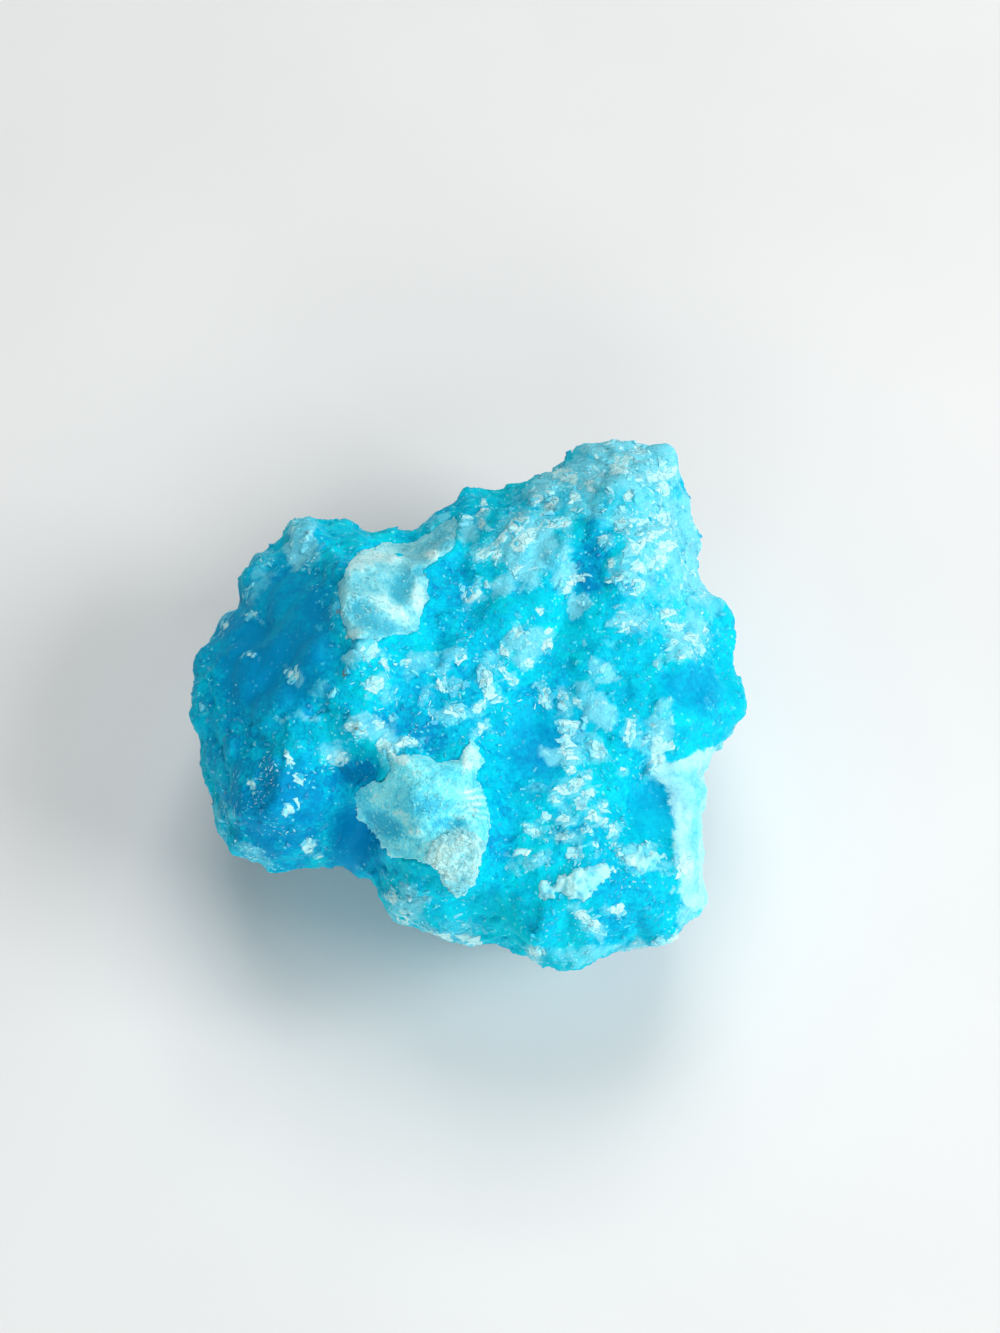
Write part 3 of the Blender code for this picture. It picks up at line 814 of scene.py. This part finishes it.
for name, outline, lift, material, count, lengths in CRUSTS:
    crust = new_piece(name, crust_plate(outline, lift))
    crust.data.materials.append(material)
    crust.data.shade_smooth()
    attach(crust, "root")
    crusts.append((crust, count, lengths))
    print(name, "has", len(crust.data.polygons), "faces")

# %% [markdown]
# ## Crystals
#
# The crystals are small blocks, blades and grains. Each is a few faces, and there are thousands, so one
# template is made, and Geometry Nodes sets a copy on each of many points, with the turn, size and tone
# that the point carries. Realizing the instances gives one plain mesh. A block is uneven, five-sided and
# made of rings, because a plain cube repeated a thousand times looks like masonry.


# %% Templates and growing
BLOCK_SIDES = 5
BLOCK_RINGS = [(0.58, -0.5), (0.56, 0.2), (0.44, 0.5)]


def block():
    """A low, uneven crystal with a cut upper edge, one unit long."""
    shape = bmesh.new()
    rings = []
    for radius, height in BLOCK_RINGS:
        ring = []
        for side in range(BLOCK_SIDES):
            angle = 2 * math.pi * (side + 0.9 * noise.noise((side * 2.3, 5.2, 1.4))) / BLOCK_SIDES
            reach = radius * (1 + 0.6 * noise.noise((side * 1.7, 3.1, 0.4)))
            rise = 0.35 * noise.noise((side * 1.9, 7.7, height))
            ring.append(shape.verts.new((reach * math.cos(angle), reach * math.sin(angle), height + rise)))
        rings.append(ring)
    for lower, upper in zip(rings, rings[1:]):
        for side in range(BLOCK_SIDES):
            after = (side + 1) % BLOCK_SIDES
            shape.faces.new((lower[side], lower[after], upper[after], upper[side]))
    shape.faces.new(rings[-1])
    shape.faces.new(rings[0][::-1])
    return new_piece("block_template", shape)


def blade():
    """A six-sided blade that narrows to a blunt end, one unit long."""
    shape = bmesh.new()
    lying = Matrix.Rotation(math.pi / 2, 4, "Y")
    bmesh.ops.create_cone(shape, cap_ends=True, segments=6, radius1=0.5, radius2=0.25, depth=1, matrix=lying)
    return new_piece("blade_template", shape)


def grain():
    """A plain sugar grain, one unit long."""
    shape = bmesh.new()
    bmesh.ops.create_cube(shape, size=1)
    return new_piece("grain_template", shape)


def growing_nodes(template):
    """Nodes that set the template on each point and make one mesh of all of them."""
    tree = bpy.data.node_groups.new("grow", "GeometryNodeTree")
    for way in ("INPUT", "OUTPUT"):
        tree.interface.new_socket("Geometry", in_out=way, socket_type="NodeSocketGeometry")
    kinds = ("NodeGroupInput", "GeometryNodeObjectInfo", "GeometryNodeInstanceOnPoints",
             "FunctionNodeEulerToRotation", "GeometryNodeRealizeInstances", "NodeGroupOutput")
    seeds, crystal, grow, turn, real, done = (tree.nodes.new(kind) for kind in kinds)
    crystal.inputs["Object"].default_value = template
    for name, target in (("turn", turn.inputs[0]), ("size", grow.inputs["Scale"])):
        reader = tree.nodes.new("GeometryNodeInputNamedAttribute")
        reader.data_type = "FLOAT_VECTOR"
        reader.inputs["Name"].default_value = name
        tree.links.new(reader.outputs["Attribute"], target)
    tree.links.new(turn.outputs[0], grow.inputs["Rotation"])
    tree.links.new(seeds.outputs[0], grow.inputs["Points"])
    tree.links.new(crystal.outputs["Geometry"], grow.inputs["Instance"])
    tree.links.new(grow.outputs[0], real.inputs[0])
    tree.links.new(real.outputs[0], done.inputs[0])
    return tree


def grow_crystals(name, template, crystals, material):
    """One piece of many crystals, each given as place, turn, size, tone and depth of blue, which is partly
    painted shade.
    """
    spots, turns, sizes, tones, deep_and_shade_values = zip(*crystals)
    mesh = bpy.data.meshes.new(name)
    mesh.from_pydata(spots, [], [])
    for label, rows in (("turn", turns), ("size", sizes)):
        attribute = mesh.attributes.new(label, "FLOAT_VECTOR", "POINT")
        attribute.data.foreach_set("vector", np.array(rows, float).ravel())
    store(mesh, "tone", tones)
    store(mesh, "deep", deep_and_shade_values)
    store(mesh, "rim", np.ones(len(tones)))
    piece = bpy.data.objects.new(name, mesh)
    bpy.context.scene.collection.objects.link(piece)
    piece.modifiers.new("grow", "NODES").node_group = growing_nodes(template)
    finished_mesh(piece)
    piece.data.materials.clear()
    piece.data.materials.append(material)
    bpy.data.objects.remove(template)
    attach(piece, "root")
    print(name, "has", len(crystals), "crystals and", len(piece.data.polygons), "faces")
    return piece


draw = np.random.default_rng(11)
skin_tree = tree_of(stone.data)


def lying_crystal(hit, normal, along, size, buried, wobble, tone, depth):
    """A crystal that lies on the skin, along a line, with a share of it buried and its normal wobbled."""
    normal = (normal + Vector(draw.normal(0, wobble, 3))).normalized()
    side = normal.cross(along).normalized()
    turn = Matrix((side.cross(normal), side, normal)).transposed().to_euler()
    spot = hit + normal * (0.5 - buried) * size[2] * MM
    return spot, turn, Vector(size) * MM, float(np.clip(tone, 0, 1)), float(depth)


def crystal_finish():
    """The finish of the crystals: blue like the stone where tone is low, then milky, then chalky white."""
    finish = mineral("small_crystals", 0.5, (0.9, 0.5, 0.4), 0.3, 0.35)
    tone, deep = finish.attribute("tone"), finish.attribute("deep")
    fine = finish.noise(0.3 * MM, 3, 0.6)
    # The crystals' blue carries the same painted shade of the hollows and the left lobe.
    blue = stone_blue(finish, deep, fine * 0.4 + tone * 0.6 - 0.1)
    colour = finish.blend((tone + fine * 0.2 - 0.1).step(0.1, 0.5), blue, MILKY_BLUE)
    colour = finish.blend((tone + fine * 0.4 - 0.2).step(0.4, 0.85), colour, CHALK)
    bump = finish.bump(finish.noise(0.12 * MM, 2), 0.025 * MM)
    finish.wear(Base_Color=colour, Roughness=0.3 + fine * 0.2, Normal=bump)
    return finish.material


crystal_material = crystal_finish()
print("Crystals go from the stone's blue to", CHALK)

# %% [markdown]
# ## White crystals
#
# The clusters are read from the photograph: middle, half length, half width and turn. Every cluster is
# rows of flat blocks that nearly touch and lie nearly parallel, as such crystals grow. More clusters,
# strewn at random, cover the sides that the photograph doesn't show.

# %% Clusters of blocks
PITCH_LONG, PITCH_WIDE, BLOCK_DEPTH = 0.46, 0.30, 0.2
FULL_DEPTH_LENGTH = 0.3
CLUSTER_BURIED, CLUSTER_WOBBLE = 0.86, 0.06
BLOCK_BEND, CRUMB_BEND = 0.25, 1.0
CRUMBS_A_BLOCK, CRUMB_REACH, FARTHEST_CRUMB = 0.4, 0.75, 1.8
# How much of the deeper blue and painted shade the white clusters take.
CLUSTER_DEEP_AND_SHADE = 0.2
HIDDEN_CLUSTERS = 110


def cluster(hit, normal, along, half_long, half_wide, depth):
    """Rows of blocks on the skin within an oval, whose size is in millimetres, and crumbs about them."""
    along = (along - normal * along.dot(normal)).normalized()
    side = normal.cross(along)
    columns, rows = max(1, round(2 * half_long / PITCH_LONG)), max(1, round(2 * half_wide / PITCH_WIDE))
    found = []

    def add(far_long, far_wide, length, width, tone, bend):
        near, outward = skin_tree.find_nearest(hit + (along * far_long + side * far_wide) * MM)[:2]
        lean = (along + side * draw.normal(0, bend)).normalized() * draw.choice((-1, 1))
        size = (length, min(width, length), BLOCK_DEPTH * min(1, length / FULL_DEPTH_LENGTH))
        found.append(lying_crystal(near, outward, lean, size, CLUSTER_BURIED, CLUSTER_WOBBLE, tone, depth))

    for row in range(rows):
        for column in range(columns):
            far_long = (2 * (column + 0.5 + draw.uniform(-0.4, 0.4)) / columns - 1) * half_long
            far_wide = (2 * (row + 0.5 + draw.uniform(-0.3, 0.3)) / rows - 1) * half_wide
            off = math.hypot(far_long / half_long, far_wide / half_wide)
            if off < 1.1 and draw.uniform() > off * 0.3:
                length, width = PITCH_LONG * draw.uniform(0.6, 1.9), PITCH_WIDE * draw.uniform(0.8, 1.7)
                add(far_long, far_wide, length, width, draw.normal(0.85 - off * 0.4, 0.18), BLOCK_BEND)
    for crumb in range(round(columns * rows * CRUMBS_A_BLOCK)):
        far_long, far_wide = draw.normal(0, CRUMB_REACH, 2).clip(-FARTHEST_CRUMB, FARTHEST_CRUMB)
        length = draw.uniform(0.08, 0.24)
        width = length * draw.uniform(0.6, 1.0)
        add(far_long * half_long, far_wide * half_wide, length, width, draw.normal(0.5, 0.2), CRUMB_BEND)
    return found


whites = []
for x, y, half_long, half_wide, turn in WHITE_CLUSTERS:
    hit, normal = skin_tree.ray_cast(EYE, sight_line(x, y))[:2]
    if hit is None:
        continue
    along = TO_RIGHT * math.cos(math.radians(turn)) + TO_TOP * math.sin(math.radians(turn))
    whites += cluster(hit, normal, along, half_long * PIXEL / MM, half_wide * PIXEL / MM, CLUSTER_DEEP_AND_SHADE)
print(len(whites), "white crystals that the photograph shows")


# %% Strewing
LOWEST, LOWEST_CLUSTER = 0.6, 1.0
PALE_GAIN = 0.45


def strewn(count, wanted, piece=stone):
    """Places, outward directions and nearest points of random spots of a piece, where wanted is high."""
    mesh, spots_on = piece.data, places(piece.data)
    mesh.calc_loop_triangles()
    corners = np.empty(len(mesh.loop_triangles) * 3, int)
    mesh.loop_triangles.foreach_get("vertices", corners)
    corners = corners.reshape(-1, 3)
    a, b, c = (spots_on[corners[:, i]] for i in range(3))
    outward = np.cross(b - a, c - a)
    area = np.linalg.norm(outward, axis=1) * wanted[corners].mean(axis=1)
    area[a[:, 2] < LOWEST * MM] = 0
    chosen = draw.choice(len(area), count, p=area / area.sum())
    share = np.sort(draw.uniform(size=(count, 2)), axis=1)
    low, high = share[:, :1], share[:, 1:]
    spots = a[chosen] * low + b[chosen] * (high - low) + c[chosen] * (1 - high)
    outward = outward[chosen] / np.linalg.norm(outward[chosen], axis=1)[:, None]
    return [(Vector(spot), Vector(way), near) for spot, way, near in zip(spots, outward, corners[chosen, 0])]


def strewn_crystals(count, wanted, lengths, shape, buried, wobble, tone, spread):
    """Crystals that lie any way round, whose shape is their width and depth as shares of their length."""
    found = []
    for spot, normal, near in strewn(count, wanted):
        length = draw.uniform(*lengths)
        size = (length, length * shape[0] * draw.uniform(0.75, 1.1), length * shape[1])
        lie = Vector(draw.normal(size=3))
        shade = draw.normal(tone, spread) + PALE_GAIN * pale[near]
        found.append(lying_crystal(spot, normal, lie, size, buried, wobble, shade, deep[near]))
    return found


hidden = (towards_eye < PAST_THE_EDGE) * (skin_points[:, 2] > LOWEST_CLUSTER * MM)
for spot, normal, near in strewn(HIDDEN_CLUSTERS, hidden * (pale + 0.1)):
    along = Vector(draw.normal(size=3))
    whites += cluster(spot, normal, along, draw.uniform(0.3, 0.9), draw.uniform(0.2, 0.4), deep[near])
grow_crystals("white_crystals", block(), whites, crystal_material)

# %% [markdown]
# ## Milky and blue crystals, sugar and splinters
#
# The same block, sunk deeper, roughens the milky patches and the blue between them with small flat
# faces. Grains of sugar a tenth of a millimetre wide lie over the rough parts, and thin splinters
# glitter on the lower left lobe and here and there elsewhere.

# %% Strewn crystals
SPARKLES = [
    (277, 790, 38, 46, 0, 1.0), (640, 500, 50, 60, 0, 0.25),
    (450, 700, 110, 70, 0, 0.35), (575, 850, 60, 60, 0, 0.3),
]
bare = (crust_depth < -1) * (vein < 0)
rough = np.clip(roughness - 0.2, 0.03, 1) * bare
sparkle = patches(pixel_x, pixel_y, SPARKLES, front) + 0.25 * (1 - front) * rough
dusty = np.clip(soft_noise(points_mm, 1.8, 61) * 3 + 0.1, 0.02, 1)
milky_places = bare * (pale ** 2 + 0.03)
blue_places = rough * (1.1 - pale)
sugary_places = rough * dusty * (0.15 + pale * 0.3 + sparkle * 0.4)

# Name, template, count, where, lengths, width and depth as shares, buried share, wobble, tone and its spread
STREWN = [
    ("milky_crystals", block, 1500, milky_places, (0.3, 0.8), (0.6, 0.28), 0.92, 0.05, 0.12, 0.12),
    ("blue_crystals", block, 2000, blue_places, (0.15, 0.42), (0.65, 0.5), 0.8, 0.16, 0.04, 0.08),
    ("sugar_grains", grain, 4000, sugary_places, (0.06, 0.2), (0.6, 0.4), 0.7, 0.35, 0.12, 0.14),
    ("splinters", blade, 750, sparkle * bare * dusty, (0.12, 0.38), (0.3, 0.2), 0.5, 0.4, 0.6, 0.2),
]
for name, template, *numbers in STREWN:
    grow_crystals(name, template(), strewn_crystals(*numbers), crystal_material)


# %% Crystals of the crusts
def crust_crystals(crust, count, lengths):
    """Little blocks in a crust's own finish, which break up its surface."""
    tones = np.empty(len(crust.data.vertices))
    crust.data.attributes["tone"].data.foreach_get("value", tones)
    shown = np.clip(directions(crust.data) @ np.array(TO_EYE), 0, 1)
    found = []
    for spot, normal, near in strewn(count, shown, crust):
        length = draw.uniform(*lengths)
        size = (length, length * draw.uniform(0.45, 0.9), length * 0.5)
        lie = Vector(draw.normal(size=3))
        tone = tones[near] + draw.normal(0, 0.18)
        found.append(lying_crystal(spot, normal, lie, size, 0.75, 0.2, tone, 0))
    grow_crystals(crust.name + "_crystals", block(), found, crust.data.materials[0])


for crust, count, lengths in crusts:
    crust_crystals(crust, count, lengths)

# %% [markdown]
# ## White knobs
#
# The front lobe carries a row of white, rounded knobs. Round knobs that have grown into each other are
# spheres joined by a remesh, with their skin wrinkled afterwards.

# %% Knobs, in the photograph's pixels: middle and radius
WHITE_KNOBS = [
    (546, 889, 8), (554, 893, 6), (564, 886, 9), (575, 887, 12), (586, 883, 11), (595, 877, 9),
    (604, 873, 6), (579, 878, 8), (589, 873, 7), (600, 868, 5), (570, 893, 7), (583, 892, 8), (611, 871, 4),
    (630, 861, 7), (639, 866, 7), (636, 856, 5), (652, 858, 6), (661, 857, 5), (619, 852, 4), (645, 862, 5),
]
KNOB_SQUARE = 0.09 * MM
KNOB_SWELL, KNOB_SUNK = 1.2, 0.62
KNOB_SMOOTHING = 4
WRINKLE_DROP = 0.05


def knob_row():
    shape = bmesh.new()
    for x, y, radius in WHITE_KNOBS:
        line = sight_line(x, y)
        radius *= PIXEL * KNOB_SWELL
        middle = Matrix.Translation(skin_tree.ray_cast(EYE, line)[0] + line * radius * KNOB_SUNK)
        bmesh.ops.create_icosphere(shape, subdivisions=3, radius=radius, matrix=middle)
    return shape


def knob_finish():
    finish = mineral("white_knob", 0.4, (0.8, 0.9, 1.0), 0.6, 0.25)
    cloud = finish.noise(0.8 * MM, 4, 0.6)
    stops = [(0.32, (0.11, 0.64, 0.86)), (0.48, (0.32, 0.84, 0.94)), (0.66, (0.57, 0.98, 0.98))]
    bump = finish.bump(finish.noise(0.18 * MM, 3), 0.06 * MM)
    finish.wear(Base_Color=finish.ramp(stops, cloud), Roughness=0.4 + cloud * 0.15, Normal=bump)
    return finish.material


knobs = remeshed("white_knobs", knob_row(), KNOB_SQUARE, KNOB_SMOOTHING)
knob_points, knob_normals = places(knobs.data), directions(knobs.data)
wrinkles = cell_tops(knob_points / MM, 0.3) * 0.06 + soft_noise(knob_points / MM, 0.6) * 0.12
wrinkles += tilted_facets(knob_points / MM, 0.35) * 0.15
move_points(knobs.data, knob_points + knob_normals * ((wrinkles - WRINKLE_DROP) * MM)[:, None])
knobs.data.materials.append(knob_finish())
knobs.data.shade_smooth()
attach(knobs, "root")
print("The knobs have", len(knobs.data.polygons), "faces")

# %% [markdown]
# ## Floor and light
#
# A pale floor and soft boxes. The strongest stands to the right, as the photograph is lit, and leaves the
# left lobe in soft shade. The other two and a faint pale sky keep that shade open.

# %% Studio
FLOOR_SIZE = 3
FLOOR_GREYS = [(0.3, (0.78, 0.78, 0.77)), (0.7, (0.82, 0.82, 0.81))]
LIGHTS = [
    ("key_box", (0.335, -0.10, 0.24), 0.22, 1.33),
    ("top_box", (0.02, 0.20, 0.38), 0.24, 0.86),
    ("front_box", (-0.03, -0.40, 0.17), 0.26, 0.82),
]
SKY, SKY_STRENGTH = (0.86, 0.95, 1.0), 0.18

bpy.ops.mesh.primitive_plane_add(size=FLOOR_SIZE)
floor = bpy.context.object
floor.name = "floor"
floor_finish = Finish("pale_floor", Roughness=0.9, Specular_IOR_Level=0.1)
floor_finish.wear(Base_Color=floor_finish.ramp(FLOOR_GREYS, floor_finish.noise(40 * MM, 3)))
floor.data.materials.append(floor_finish.material)

for name, place, wide, power in LIGHTS:
    light = bpy.data.objects.new(name, bpy.data.lights.new(name, "AREA"))
    light.data.size = wide
    light.data.energy = power
    light.location = place
    light.rotation_euler = (Vector(place) - FACE_MIDDLE).to_track_quat("Z", "Y").to_euler()
    bpy.context.scene.collection.objects.link(light)
world = bpy.data.worlds.new("studio")
world.use_nodes = True
sky = world.node_tree.nodes["Background"].inputs
sky["Color"].default_value = (*SKY, 1)
sky["Strength"].default_value = SKY_STRENGTH
bpy.context.scene.world = world
bpy.context.scene.view_settings.view_transform = "Standard"
